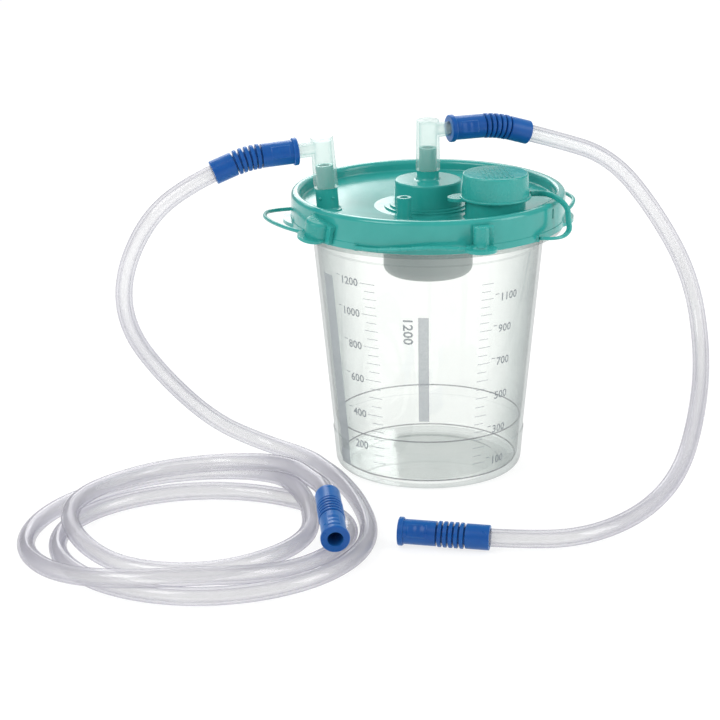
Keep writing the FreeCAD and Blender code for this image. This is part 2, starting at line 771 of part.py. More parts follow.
def make_shutoff_housing():
    top = s.plate - s.lid_wall
    inside = s.housing_radius - s.housing_wall
    floor = s.housing_bottom + s.housing_wall
    cup = turned_body("housing_cup", [
        (s.housing_inlet, s.housing_bottom),
        (s.housing_radius, s.housing_bottom),
        (s.housing_radius, top),
        (inside, top),
        (inside, floor),
        (s.housing_inlet, floor),
    ])
    round_rings(cup, "housing_base_edge", s.housing_corner, [(s.housing_radius, s.housing_bottom)])
    round_rings(cup, "housing_floor_edge", s.housing_corner - s.housing_wall, [(inside, floor)])
    rib_inner = s.float_radius + s.float_clearance
    ribs = []
    slots = []
    for index in range(4):
        rib = box("guide_rib_%d" % index, inside - rib_inner + s.housing_wall / 2, s.guide_rib,
                  top - s.housing_bottom - s.housing_corner * 2 - s.collar_length,
                  rib_inner, -s.guide_rib / 2, s.housing_bottom + s.housing_corner)
        turned_rib = fuse("guide_rib_turned_%d" % index, [rib, cylinder(
            "guide_rib_root_%d" % index, s.guide_rib / 2, s.housing_corner, inside, 0, s.housing_bottom + s.housing_corner * 2)])
        turned_rib.Placement = Placement(Vector(), Rotation(Vector(0, 0, 1), 45 + 90 * index))
        ribs.append(turned_rib)
        slot = box("air_slot_%d" % index, s.housing_wall * 4, s.housing_slot_width, s.housing_slot_height,
                   inside - s.housing_wall, -s.housing_slot_width / 2, top - s.housing_slot_height - s.collar_length / 2 - 1)
        turned_slot = fuse("air_slot_turned_%d" % index, [slot, cylinder(
            "air_slot_core_%d" % index, 1, 1, s.housing_radius, 0, top - s.housing_slot_height - 2)])
        turned_slot.Placement = Placement(Vector(), Rotation(Vector(0, 0, 1), 90 * index))
        slots.append(turned_slot)
    finish(cut("housing", fuse("housing_solid", [cup] + ribs), slots), "shutoff_housing")


def make_shutoff_float():
    base = s.housing_bottom + s.housing_wall + s.float_rest_gap
    top = base + s.float_height
    body = turned_body("float_body", [
        (0, base + s.float_wall * 2),
        (s.float_radius - s.float_wall * 3, base + s.float_wall * 2),
        (s.float_radius - s.float_wall * 3, base),
        (s.float_radius - s.float_wall * 2, base),
        (s.float_radius, base + s.float_wall * 2),
        (s.float_radius, top - s.float_wall),
        (s.float_radius - s.float_wall, top),
        (s.seal_spigot, top),
        (s.seal_spigot, top - s.seal_thickness),
        (0, top - s.seal_thickness),
    ])
    finish(body, "shutoff_float")
    seal = turned_body("seal_disc", [
        (0, top - s.seal_thickness),
        (s.seal_spigot, top - s.seal_thickness),
        (s.seal_spigot, top),
        (s.seal_radius, top),
        (s.seal_radius, top + s.seal_thickness),
        (0, top + s.seal_thickness),
    ])
    round_rings(seal, "seal_edge", s.seal_thickness * 0.3, [(s.seal_radius, top + s.seal_thickness)])
    finish(seal, "float_seal")


# Swivel elbows

def make_elbow(name):
    """A sleeve with a closed head and a side branch along +X, standing on the origin."""
    bore_radius = s.stub_tip_radius + s.swivel_clearance
    sleeve = turned_body(name + "_sleeve", [
        (0, s.elbow_length - s.elbow_lid),
        (bore_radius, s.elbow_length - s.elbow_lid),
        (bore_radius, 0),
        (s.elbow_foot_radius, 0),
        (s.elbow_head_radius, s.elbow_length),
        (0, s.elbow_length),
    ])
    round_rings(sleeve, name + "_head_edge", s.elbow_round, [(s.elbow_head_radius, s.elbow_length)])
    branch = cylinder(name + "_branch", s.branch_radius, s.branch_length, bore_radius * 0.9, 0, s.branch_height)
    branch.Placement.Rotation = Rotation(Vector(0, 1, 0), 90)
    bind(branch, Height=s.branch_length - bore_radius * 0.9)
    bore = cylinder(name + "_bore", s.branch_bore, s.branch_length, 0, 0, s.branch_height)
    bore.Placement.Rotation = Rotation(Vector(0, 1, 0), 90)
    core = cylinder(name + "_core", bore_radius, s.elbow_length - s.elbow_lid, 0, 0, 0)
    return cut(name, fuse(name + "_solid", [sleeve, branch]), [bore, core])


def branch_frame(port, turn, lean, rise):
    """The placement of an elbow on its port, with its branch turned to its side."""
    tilt = Rotation(Vector(0, 1, 0), -lean)
    place = Vector(*port) + tilt.multVec(Vector(0, 0, rise))
    return Placement(place, tilt.multiply(Rotation(Vector(0, 0, 1), turn)))


def make_elbows():
    gap = float(s.elbow_gap)
    patient_turn = 180.0 + float(s.patient_branch_turn)
    port = (float(s.patient_port_x), float(s.patient_port_y), float(s.plate + s.patient_port_rise))
    patient = branch_frame(port, patient_turn, float(s.patient_port_lean), float(s.patient_stub_length) + gap)
    shoulder = (0, 0, float(s.boss_top + s.vacuum_stub_length))
    vacuum = branch_frame(shoulder, float(s.vacuum_branch_turn), 0.0, gap)
    for name, frame in (("patient_elbow", patient), ("vacuum_elbow", vacuum)):
        elbow = make_elbow(name + "_model")
        doc.recompute()
        placed = shaped(name + "_placed", elbow.Shape.copy())
        placed.Placement = frame
        finish(placed, name)
    return patient, vacuum


# Hose connectors

def bent_frame(bend):
    """The tail's frame at the end of the bellows, which turn towards local -X by bend degrees."""
    length = float(s.waist_length)
    start = float(s.mouth_length + s.barrel_length)
    if bend == 0:
        return Placement(Vector(0, 0, start + length), Rotation())
    angle = math.radians(bend)
    radius = length / angle
    point = Vector(-radius * (1 - math.cos(angle)), 0, start + radius * math.sin(angle))
    return Placement(point, Rotation(Vector(0, 1, 0), -bend))


def connector_shape(bend):
    """A soft connector along +Z: flanged mouth, barrel with grip panel, ribbed waist, tail."""
    start = float(s.mouth_length + s.barrel_length)
    length = float(s.waist_length)
    tail_at = bent_frame(bend)
    mouth = Part.makeCylinder(float(s.mouth_radius), float(s.mouth_length))
    mouth = mouth.makeFillet(float(s.soft_round) * 1.4,
                             [edge for edge in mouth.Edges if isinstance(edge.Curve, Part.Circle)])
    barrel = Part.makeCylinder(float(s.barrel_radius), start)
    pieces = [barrel]
    holes = [Part.makeCylinder(float(s.socket_radius), float(s.socket_depth))]
    if bend == 0:
        waist = Part.makeCylinder(float(s.waist_radius), length, Vector(0, 0, start))
        bore = Part.makeCylinder(float(s.waist_bore), length + start, Vector(0, 0, float(s.socket_depth) - 1))
    else:
        angle = math.radians(bend)
        centre = Vector(-length / angle, 0, start)
        waist = turned_arc(float(s.waist_radius), start, centre, bend)
        bore = turned_arc(float(s.waist_bore), start, centre, bend)
        holes.append(Part.makeCylinder(float(s.waist_bore), start, Vector()))
    pieces.append(waist)
    holes.append(bore)
    for index in range(int(float(s.rib_count))):
        along = float(s.rib_pitch) * (index + 1) - float(s.rib_length) / 2
        share = along / length
        place = Placement(Vector(0, 0, start + along), Rotation())
        if bend:
            angle = math.radians(bend) * share
            radius = length / math.radians(bend)
            place = Placement(Vector(-radius * (1 - math.cos(angle)), 0, start + radius * math.sin(angle)),
                              Rotation(Vector(0, 1, 0), -bend * share))
        rib = Part.makeCylinder(float(s.rib_radius), float(s.rib_length), Vector(0, 0, -float(s.rib_length) / 2))
        rib = rib.makeFillet(float(s.soft_round), [edge for edge in rib.Edges if isinstance(edge.Curve, Part.Circle)])
        rib.Placement = place
        pieces.append(rib)
    tail = Part.makeCylinder(float(s.tail_radius), float(s.tail_length))
    tail = tail.makeFillet(float(s.soft_round), [edge for edge in tail.Edges if isinstance(edge.Curve, Part.Circle)])
    tail.Placement = tail_at
    pieces.append(tail)
    hose_bore = float(s.hose_radius) + float(s.hose_clearance)
    depth = float(s.tail_depth)
    socket = Part.makeCylinder(hose_bore, depth + 1, Vector(0, 0, float(s.tail_length) - depth))
    passage = Part.makeCylinder(float(s.waist_bore), float(s.tail_length), Vector())
    for hole in (socket, passage):
        hole.Placement = tail_at.multiply(hole.Placement)
        holes.append(hole)
    return mouth.fuse(pieces).cut(holes[0].fuse(holes[1:])).removeSplitter()


def turned_arc(radius, start, centre, bend):
    """A round rod bent about a centre beside the connector's axis."""
    face = Part.Face(Part.Wire(Part.Circle(Vector(0, 0, start), Vector(0, 0, 1), radius).toShape()))
    return face.revolve(centre, Vector(0, 1, 0), -bend)


def aim(point, direction, down):
    """A frame at point with +Z along direction and -X turned as far down as it goes."""
    forward = Vector(direction).normalize()
    sideways = forward.cross(Vector(down)).normalize()
    lower = sideways.cross(forward).normalize()
    return Placement(Vector(point), frame_rotation(-lower, forward))


def frame_rotation(across, forward):
    """The rotation that takes +X to across and +Z to forward."""
    side = forward.cross(across).normalize()
    matrix = FreeCAD.Matrix(across.x, side.x, forward.x, 0, across.y, side.y, forward.y, 0,
                            across.z, side.z, forward.z, 0, 0, 0, 0, 1)
    return Placement(matrix).Rotation


def make_connectors(patient, vacuum):
    """Four connectors: one on each elbow, bent down, and one on the free end of each hose."""
    frames = {}
    for name, elbow, gap in (("patient_elbow_connector", patient, s.patient_gap),
                             ("vacuum_elbow_connector", vacuum, s.vacuum_gap)):
        along = elbow.Rotation.multVec(Vector(1, 0, 0))
        mouth = elbow.multVec(Vector(float(gap), 0, float(s.branch_height)))
        frames[name] = (aim(mouth, along, Vector(0, 0, -1)), float(s.connector_bend))
    frames["patient_end_connector"] = (aim(PATIENT_END, PATIENT_END_AXIS, Vector(0, 0, -1)), 0.0)
    frames["vacuum_end_connector"] = (aim(VACUUM_END, VACUUM_END_AXIS, Vector(0, 0, -1)), 0.0)
    shapes = {bend: connector_shape(bend) for bend in (0.0, float(s.connector_bend))}
    tails = {}
    for name, (frame, bend) in frames.items():
        thing = shaped(name + "_shape", shapes[bend].copy())
        thing.Placement = frame
        finish(thing, name)
        tails[name] = frame.multiply(bent_frame(bend))
    return tails


def tail_points(tail, beyond):
    """The hose's seat inside a connector's tail, and a point straight out of it."""
    seat = tail.multVec(Vector(0, 0, float(s.tail_length) - float(s.tail_depth)))
    out = tail.multVec(Vector(0, 0, float(s.tail_length) + beyond))
    return seat, out


# Mouths of the two loose connectors and the way from mouth to tail
PATIENT_END = Vector(-47.3, -172.2, 17.9)
PATIENT_END_AXIS = Vector(-5.6, 47.5, 6.2)
VACUUM_END = Vector(-15.6, -133.7, 7.7)
VACUUM_END_AXIS = Vector(48.2, -7.7, -0.9)

# Routes of the hoses, chosen by hand: the long one falls to the left, lands beside the jar
# and runs into its coil; the short one falls to the right and comes round to the front.
PATIENT_ROUTE = [
    Vector(-153, -40, 152), Vector(-168, -38, 118), Vector(-167, -25, 85), Vector(-150, -6, 52),
    Vector(-124, 10, 20), Vector(-94, 14, 5.2), Vector(-67, -12, 4.8), Vector(-58.5, -28.5, 4.8)]
COIL_LEAD = [Vector(-58.5, -28.5, 4.8), Vector(-50, -45, 4.8), Vector(-38, -80, 4.8)]
COIL_TAIL = [Vector(-63, -98, 24.4), Vector(-74, -80, 24), Vector(-91, -60, 19), Vector(-110, -46, 14)]

# The coil's outline: its outer and inner radius at eighths of a turn, clockwise from the right
COIL_OUTER = [91.2, 94.8, 95.8, 100.8, 92.8, 89.8, 96.2, 101.0]
COIL_INNER = [50.8, 47.2, 53.2, 58.8, 66.8, 58.6, 54.8, 58.2]
VACUUM_ROUTE = [
    Vector(104, 42, 168), Vector(131, 48, 134), Vector(152, 42, 96), Vector(157, 18, 58), Vector(151, -20, 34),
    Vector(138, -64, 14), Vector(114, -104, 5.4), Vector(80, -137, 4.8)]


def make_hoses(tails):
    radius = float(s.hose_radius)
    seat, out = tail_points(tails["patient_elbow_connector"], 15.0)
    finish(shaped("patient_tube", round_tube([seat, out] + PATIENT_ROUTE, radius, "patient hose")), "patient_hose")
    make_coil(tails["patient_end_connector"])
    seat, out = tail_points(tails["vacuum_elbow_connector"], 15.0)
    end_seat, end_out = tail_points(tails["vacuum_end_connector"], 12.0)
    route = [seat, out] + VACUUM_ROUTE + [end_out, end_seat]
    finish(shaped("vacuum_tube", round_tube(route, radius, "vacuum hose")), "vacuum_hose")


def make_coil(end_tail):
    """The outer shape of the loose coil: a low oval ring, its lead-in and its raised free end."""
    radius = float(s.hose_radius)
    height = 4 * radius
    centre = Vector(float(s.coil_x), float(s.coil_y), 0)

    def loop(radii):
        points = []
        for index, reach in enumerate(radii):
            turn = 2 * math.pi * index / len(radii)
            points.append(centre + Vector(math.cos(turn), -math.sin(turn), 0) * reach)
        curve = Part.BSplineCurve()
        curve.interpolate(points, PeriodicFlag=True)
        return Part.Face(Part.Wire(curve.toShape())).extrude(Vector(0, 0, height))

    ring = loop(COIL_OUTER).cut(loop(COIL_INNER))
    # Towards the front right only one turn lies under the loose connector
    low = Part.makeBox(80, 111, height, centre + Vector(36, -105, 2 * radius + 0.05))
    ring = ring.cut(low)
    lead = round_tube(COIL_LEAD, radius, "coil lead-in")
    seat, out = tail_points(end_tail, 8.0)
    tail = round_tube([seat, out] + COIL_TAIL, radius, "coil free end")
    finish(shaped("coil", ring.fuse([lead, tail]).removeSplitter()), "patient_hose_coil")


def check_and_write():
    doc.recompute()
    for thing in doc.Objects:
        if "Invalid" in thing.State or "Error" in thing.State:
            raise RuntimeError("%s did not build: %s" % (thing.Label, thing.State))
    os.makedirs("parts", exist_ok=True)
    for part in parts:
        shape = part.Shape
        if shape.isNull() or not shape.isValid():
            raise RuntimeError("%s has no valid shape" % part.Label)
        if len(shape.Solids) != 1:
            raise RuntimeError("%s has %d solids" % (part.Label, len(shape.Solids)))
    for part in parts:
        part.Shape.exportStep(os.path.join("parts", part.Label + ".step"))
        size = part.Shape.BoundBox
        print("%-26s %8.0f mm3  x %.1f..%.1f  y %.1f..%.1f  z %.1f..%.1f" % (
            part.Label, part.Shape.Volume, size.XMin, size.XMax, size.YMin, size.YMax, size.ZMin, size.ZMax))


make_jar()
lid_shape = make_lid()
make_pour_cap()
make_pour_cap_strap(lid_shape)
make_captive_caps(lid_shape)
make_shutoff_housing()
make_shutoff_float()
make_hoses(make_connectors(*make_elbows()))
check_and_write()
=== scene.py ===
import json
import math

import bpy
from mathutils import Matrix, Vector
from mathutils.bvhtree import BVHTree


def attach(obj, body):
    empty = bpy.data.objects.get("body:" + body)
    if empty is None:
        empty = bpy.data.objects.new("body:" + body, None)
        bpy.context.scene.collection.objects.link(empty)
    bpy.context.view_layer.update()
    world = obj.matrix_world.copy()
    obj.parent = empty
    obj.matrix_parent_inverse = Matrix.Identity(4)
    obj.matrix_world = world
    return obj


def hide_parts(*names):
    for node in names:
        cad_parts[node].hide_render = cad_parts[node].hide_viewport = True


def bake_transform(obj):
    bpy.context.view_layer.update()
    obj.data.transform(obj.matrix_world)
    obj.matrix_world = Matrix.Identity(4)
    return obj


# Everything is in metres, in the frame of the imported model: +Z up, the jar's axis on Z, its front to -Y.
# Routes, marks and outlines are written in millimetres and turned into metres where they are used.
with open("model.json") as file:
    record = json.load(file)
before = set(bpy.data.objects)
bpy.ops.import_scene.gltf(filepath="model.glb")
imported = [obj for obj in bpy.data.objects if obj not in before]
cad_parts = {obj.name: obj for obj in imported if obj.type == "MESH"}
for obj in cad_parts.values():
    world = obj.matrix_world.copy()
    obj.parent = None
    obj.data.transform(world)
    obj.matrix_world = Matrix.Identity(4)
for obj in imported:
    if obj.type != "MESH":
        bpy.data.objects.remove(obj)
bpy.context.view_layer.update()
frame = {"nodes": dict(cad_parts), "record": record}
MM = 0.001


# Materials

class Shader:
    """A material's node tree, with one call that adds a node and fills or links its inputs."""

    def __init__(self, name):
        self.material = bpy.data.materials.new(name)
        self.material.use_nodes = True
        self.tree = self.material.node_tree
        self.tree.nodes.clear()
        self.end = self.tree.nodes.new("ShaderNodeOutputMaterial")

    def add(self, kind, inputs=None, **settings):
        node = self.tree.nodes.new("ShaderNode" + kind)
        for name, value in settings.items():
            setattr(node, name, value)
        for name, value in (inputs or {}).items():
            socket = node.inputs[name]
            if isinstance(value, bpy.types.NodeSocket):
                self.tree.links.new(value, socket)
            else:
                socket.default_value = value
        return node

    def close(self, socket):
        self.tree.links.new(socket, self.end.inputs["Surface"])
        return self.material

    def place(self):
        return self.add("TexCoord").outputs["Object"]

    def noise(self, scale, detail=3.0, rough=0.55):
        inputs = {"Vector": self.place(), "Scale": scale, "Detail": detail, "Roughness": rough}
        return self.add("TexNoise", inputs).outputs["Fac"]

    def ramp(self, factor, low, high, start=0.3, stop=0.7):
        """A colour between low and high as factor goes from start to stop."""
        node = self.add("ValToRGB", {"Fac": factor})
        node.color_ramp.elements[0].position = start
        node.color_ramp.elements[1].position = stop
        node.color_ramp.elements[0].color = colour(low)
        node.color_ramp.elements[1].color = colour(high)
        return node.outputs["Color"]

    def spread(self, factor, low, high):
        """A value between low and high, for a factor between 0.3 and 0.7."""
        inputs = {"Value": factor, "From Min": 0.3, "From Max": 0.7, "To Min": low, "To Max": high}
        return self.add("MapRange", inputs).outputs["Result"]

    def sheen(self):
        """The share of light that a clear wall reflects, rising towards its edge-on parts."""
        facing = self.add("LayerWeight", {"Blend": 0.5}).outputs["Facing"]
        grazing = self.add("Math", {0: facing, 1: 5.0}, operation="POWER").outputs["Value"]
        return self.add("MapRange", {"Value": grazing, "To Min": 0.04, "To Max": 0.9}).outputs["Result"]

    def bump(self, height, strength, distance):
        inputs = {"Height": height, "Strength": strength, "Distance": distance}
        return self.add("Bump", inputs).outputs["Normal"]


def colour(screen):
    """A linear colour from screen values of 0 to 255."""
    linear = [((c / 255 + 0.055) / 1.055) ** 2.4 if c > 10 else c / 255 / 12.92 for c in screen]
    return (*linear, 1.0)


def moulded(name, dark, light, rough, grain=0.04, coat=0.0, glow=0.0):
    """Moulded plastic: faint flow variation, uneven gloss and a fine orange-peel skin."""
    m = Shader(name)
    inputs = {
        "Base Color": m.ramp(m.noise(38.0), dark, light),
        "Roughness": m.spread(m.noise(160.0), *rough),
        "Normal": m.bump(m.noise(1900.0, 2.0), grain, 0.0004),
        "Coat Weight": coat,
        "Coat Roughness": 0.12,
        "Subsurface Weight": glow,
        "Subsurface Radius": (0.4, 1.0, 0.9),
        "Subsurface Scale": 0.002,
    }
    return m.close(m.add("BsdfPrincipled", inputs).outputs["BSDF"])


# How much of a clear wall's milkiness counts in the shadow that it casts
SHADOW_SHARE = 0.3


def clear(name, head_on, edge_on, body, body_share, blend, rough=0.04, waves=0.05):
    """Clear plastic: see-through head on, greyer where its wall is seen edge on, with real gloss."""
    m = Shader(name)
    facing = m.add("LayerWeight", {"Blend": blend}).outputs["Facing"]
    flow = m.noise(40.0, 2.0)
    skin = m.bump(flow, waves, 0.002)
    uneven = m.add("Math", {0: facing, 1: m.spread(flow, 0.92, 1.08)}, operation="MULTIPLY", use_clamp=True)
    tint = m.ramp(uneven.outputs["Value"], head_on, edge_on, 0.15, 0.95)
    window = m.add("BsdfTransparent", {"Color": tint}).outputs["BSDF"]
    face = m.add("BsdfDiffuse", {"Color": colour(body), "Normal": skin}).outputs["BSDF"]
    back = m.add("BsdfTranslucent", {"Color": colour(body)}).outputs["BSDF"]
    milk = m.add("MixShader", {0: 0.5, 1: face, 2: back}).outputs["Shader"]
    shade = m.add("LightPath").outputs["Is Shadow Ray"]
    ends = {"Value": shade, "To Min": body_share, "To Max": body_share * SHADOW_SHARE}
    share = m.add("MapRange", ends).outputs["Result"]
    wall = m.add("MixShader", {0: share, 1: window, 2: milk}).outputs["Shader"]
    gloss = m.add("BsdfGlossy", {"Roughness": rough, "Normal": skin}).outputs["BSDF"]
    return m.close(m.add("MixShader", {0: m.sheen(), 1: wall, 2: gloss}).outputs["Shader"])


def soft_blue(name):
    """Soft blue: deep in the body, with a painted sheen that makes the colour paler where the surface is seen
    edge on.
    """
    m = Shader(name)
    facing = m.add("LayerWeight", {"Blend": 0.25}).outputs["Facing"]
    cloud = m.ramp(m.noise(70.0), (6, 76, 154), (14, 88, 166))
    # Painted sheen: the base colour is mixed towards a paler blue where the surface is seen edge on.
    base = m.add("Mix", {0: facing, 6: cloud, 7: colour((50, 128, 198))}, data_type="RGBA")
    inputs = {
        "Base Color": base.outputs[2],
        "Roughness": m.spread(m.noise(220.0), 0.26, 0.4),
        "Normal": m.bump(m.noise(1400.0, 2.0), 0.06, 0.0005),
        "Specular IOR Level": 0.35,
        "Subsurface Weight": 0.1,
        "Subsurface Radius": (0.05, 0.35, 1.0),
        "Subsurface Scale": 0.002,
    }
    return m.close(m.add("BsdfPrincipled", inputs).outputs["BSDF"])


def ink(name, shade, cover):
    """A film of slightly uneven tone that covers this share of what lies behind it: printed ink, and also the
    painted shade rings on the jar.
    """
    m = Shader(name)
    base = m.ramp(m.noise(900.0, 4.0), shade, [min(255, c + 14) for c in shade])
    film = m.add("BsdfPrincipled", {"Base Color": base, "Roughness": 0.5}).outputs["BSDF"]
    window = m.add("BsdfTransparent").outputs["BSDF"]
    return m.close(m.add("MixShader", {0: cover, 1: window, 2: film}).outputs["Shader"])


def make_materials():
    return {
        "clear_jar": clear(
            "jar clear", head_on=(254, 255, 254), edge_on=(208, 213, 213), body=(244, 247, 246),
            body_share=0.02, blend=0.35),
        "lid_plastic": moulded(
            "lid teal", (40, 160, 152), (54, 170, 163), (0.15, 0.24), grain=0.03, coat=0.3, glow=0.08),
        "strap_plastic": moulded(
            "strap teal", (42, 160, 152), (58, 173, 166), (0.22, 0.32), coat=0.1, glow=0.1),
        "elbow_plastic": clear(
            "elbow frosted", head_on=(251, 254, 253), edge_on=(218, 238, 235), body=(242, 252, 250),
            body_share=0.17, blend=0.35, rough=0.22, waves=0.02),
        "connector_plastic": soft_blue("connector blue"),
        "hose_plastic": clear(
            "hose clear", head_on=(254, 254, 254), edge_on=(192, 190, 204), body=(248, 248, 249),
            body_share=0.25, blend=0.42, rough=0.12, waves=0.02),
        "housing_plastic": moulded("housing grey", (176, 181, 181), (188, 193, 193), (0.4, 0.5)),
        "float_plastic": moulded("float white", (214, 216, 214), (226, 228, 226), (0.35, 0.45)),
        "seal_rubber": moulded("seal rubber", (188, 190, 186), (202, 204, 200), (0.5, 0.6)),
        "ink": ink("ink grey", (122, 130, 135), 0.8),
        "pale_ink": ink("ink pale", (150, 157, 163), 0.62),
        # Painted shade: the dark rings where the jar's wall bends the light, drawn with the ink film.
        "bend_shade": ink("painted bend shade", (120, 120, 134), 0.38),
    }


materials = make_materials()


def dress_nodes():
    """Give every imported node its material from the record's slots."""
    for part in frame["record"]["subparts"]:
        node = frame["nodes"][part["node"]]
        node.data.materials.clear()
        node.data.materials.append(materials[part["material_slot"]])


dress_nodes()


def add_mesh(name, vertices, faces, material, smooth=True):
    """A new mesh object, dressed with one of the scene's materials."""
    mesh = bpy.data.meshes.new(name)
    mesh.from_pydata(vertices, [], faces)
    if smooth:
        mesh.shade_smooth()
    mesh.materials.append(materials[material])
    thing = bpy.data.objects.new(name, mesh)
    bpy.context.scene.collection.objects.link(thing)
    return thing


# Hoses: smooth curves through the routes of the CAD tubes

HOSE_RADIUS = 4.75 * MM
HOSE_BORE = 3.175 * MM


def metres(points):
    return [Vector(p) * MM for p in points]


# The long hose leaves the patient elbow's connector, falls to the left and lands beside the jar
PATIENT_START = metres([(-107.2, -27.4, 179.4), (-130.3, -33.2, 170.1)])
PATIENT_FALL = metres([
    (-153, -40, 152), (-168, -38, 118), (-167, -25, 85), (-150, -6, 52),
    (-124, 8, 21), (-97, 11, 7.0), (-68, -10, 4.8), (-58.5, -28.5, 4.8), (-50, -45, 4.8), (-38, -80, 4.8)])
# Its last stretch lies on the coil and enters the loose connector
PATIENT_END = metres([(-63, -98, 24.5), (-53.8, -116.9, 25.1), (-51.7, -135.1, 22.7)])

# The coil: three loose turns, clockwise from above. Each turn gives its radius and height at
# eight stations an eighth of a turn apart, from the right round by the front.
COIL_CENTRE = Vector((-118, -125, 0)) * MM
COIL_TURNS = [
    [(86.4, 4.8), (90, 4.8), (91, 4.8), (84, 4.8), (74.5, 4.8), (63.4, 4.8), (59.5, 4.8), (64, 4.8)],
    [(77, 4.8), (74, 4.8), (87, 14.6), (97, 8.5), (92, 4.8), (86, 4.8), (91.5, 5.0), (63, 14.6)],
    [(55.5, 5.5), (52, 4.8), (58, 4.8), (63.5, 5.5), (71.5, 14.6), (70.5, 14.6), (80, 13.8), (63, 24.3)],
]
COIL_EXIT = (62.0, 25.0)
STATIONS = 8
COIL_STEPS = 16
# The height of a hose's centre where it lies on the floor
LYING = 4.8


def coil_points():
    """Points of the turns, sixteen to a turn, eased between the stations."""
    stations = [station for turn in COIL_TURNS for station in turn]
    stations.append(COIL_EXIT)
    per_station = COIL_STEPS // STATIONS
    # The curve runs inside its control points, so they lie this much further out
    swell = 1 / math.cos(math.pi / COIL_STEPS)
    points = []
    for index in range((len(stations) - 1) * per_station - 1):
        at = index // per_station
        share = (index % per_station) / per_station
        before = stations[max(at - 1, 0)]
        after = stations[min(at + 2, len(stations) - 1)]
        radius, height = (
            eased(before[k], stations[at][k], stations[at + 1][k], after[k], share) for k in (0, 1))
        turn = 2 * math.pi * index / COIL_STEPS
        offset = Vector((math.cos(turn), -math.sin(turn), 0)) * radius * MM * swell
        points.append(COIL_CENTRE + offset + Vector((0, 0, max(height, LYING) * MM)))
    return points


def eased(before, start, stop, after, share):
    """A smooth value between start and stop that also heeds its neighbours."""
    a = 2 * start
    b = stop - before
    c = 2 * before - 5 * start + 4 * stop - after
    d = -before + 3 * start - 3 * stop + after
    return (a + b * share + c * share ** 2 + d * share ** 3) / 2


# The short hose leaves the vacuum elbow's connector, falls to the right and comes round to the front
VACUUM_ROUTE = metres([
    (46.5, 17.9, 189.4), (69.3, 26.6, 181.9), (104, 42, 168), (131, 48, 134), (152, 42, 96), (157, 18, 58),
    (151, -20, 34), (138, -64, 14), (114, -104, 5.4), (80, -137, 4.8), (43.8, -143.2, 6.6), (21.6, -139.6, 7.0)])


def smooth_line(name, points):
    """The points of a quadratic NURBS spline with the route's points as its controls."""
    curve = bpy.data.curves.new(name + "_line", "CURVE")
    curve.dimensions = "3D"
    curve.resolution_u = 8
    spline = curve.splines.new("NURBS")
    spline.points.add(len(points) - 1)
    for control, point in zip(spline.points, points):
        control.co = (*point, 1.0)
    spline.order_u = 3
    spline.use_endpoint_u = True
    thing = bpy.data.objects.new(name + "_line", curve)
    bpy.context.scene.collection.objects.link(thing)
    line = bpy.data.meshes.new_from_object(thing.evaluated_get(bpy.context.evaluated_depsgraph_get()))
    found = [vertex.co.copy() for vertex in line.vertices]
    bpy.data.objects.remove(thing)
    bpy.data.meshes.remove(line)
    return found


def frames_along(line):
    """A direction and two cross axes at each point, carried along without twist."""
    steps = [(b - a).normalized() for a, b in zip(line, line[1:])]
    forward = [steps[0]] + [(a + b).normalized() for a, b in zip(steps, steps[1:])] + [steps[-1]]
    side = forward[0].cross(Vector((0, 0, 1))).normalized()
    frames = []
    for direction in forward:
        side = (side - direction * side.dot(direction)).normalized()
        frames.append((direction, side, direction.cross(side)))
    return frames


def tube_mesh(name, line, profiles, material):
    """A mesh swept from closed (across, up) outlines: one gives a solid band, two a wall with a bore."""
    frames = frames_along(line)
    vertices = []
    faces = []
    starts = []
    for profile in profiles:
        starts.append(len(vertices))
        count = len(profile)
        for point, (_, side, up) in zip(line, frames):
            vertices += [point + side * across + up * rise for across, rise in profile]
        for ring in range(len(line) - 1):
            low = starts[-1] + ring * count
            for index in range(count):
                following = (index + 1) % count
                quad = (low + index, low + following, low + count + following, low + count + index)
                faces.append(quad if len(starts) == 1 else quad[::-1])
    count = len(profiles[0])
    last = (len(line) - 1) * count
    if len(profiles) == 2:
        for index in range(count):
            following = (index + 1) % count
            a, b = starts
            faces.append((a + following, a + index, b + index, b + following))
            faces.append((a + last + index, a + last + following, b + last + following, b + last + index))
    else:
        faces.append(tuple(range(count))[::-1])
        faces.append(tuple(last + index for index in range(count)))
    return add_mesh(name, vertices, faces, material)


def ring_profile(radius, count=28):
    return [(radius * math.cos(2 * math.pi * i / count), radius * math.sin(2 * math.pi * i / count))
            for i in range(count)]


def make_hose(name, route, body, nodes):
    """A hose along its route, in place of the CAD nodes, with the fittings on its two ends."""
    line = smooth_line(name, route)
    hose = tube_mesh(name, line, [ring_profile(HOSE_RADIUS), ring_profile(HOSE_BORE)], "hose_plastic")
    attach(hose, body)
    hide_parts(*nodes)


make_hose("patient_line", PATIENT_START + PATIENT_FALL + coil_points() + PATIENT_END, "patient_elbow",
          ["patient_hose", "patient_hose_coil"])
make_hose("vacuum_line", VACUUM_ROUTE, "vacuum_elbow",
          ["vacuum_hose"])


# Pour cap strap: a flat band that runs from the cap at one end to the lid at the other

STRAP_ROUTE = metres([
    (55.6, -25.7, 162.5), (60.4, -24.3, 162.5), (67.2, -31.6, 163.5), (75.6, -37.5, 158.4),
    (76.1, -35.6, 150.0), (77.1, -36.1, 144.0), (70.7, -48.4, 142.6), (60.3, -49.7, 143.5)])
STRAP_WIDTH = 3.0 * MM
STRAP_THICKNESS = 1.8 * MM
STRAP_CORNER = 0.6 * MM


def rounded_profile(across, rise, corner, steps=3):
    """A rounded rectangle, this far across and this far upwards."""
    outline = []
    for index, (x, y) in enumerate(((1, 1), (-1, 1), (-1, -1), (1, -1))):
        for step in range(steps + 1):
            turn = math.pi / 2 * (index + step / steps)
            outline.append((x * (across / 2 - corner) + corner * math.cos(turn),
                            y * (rise / 2 - corner) + corner * math.sin(turn)))
    return outline


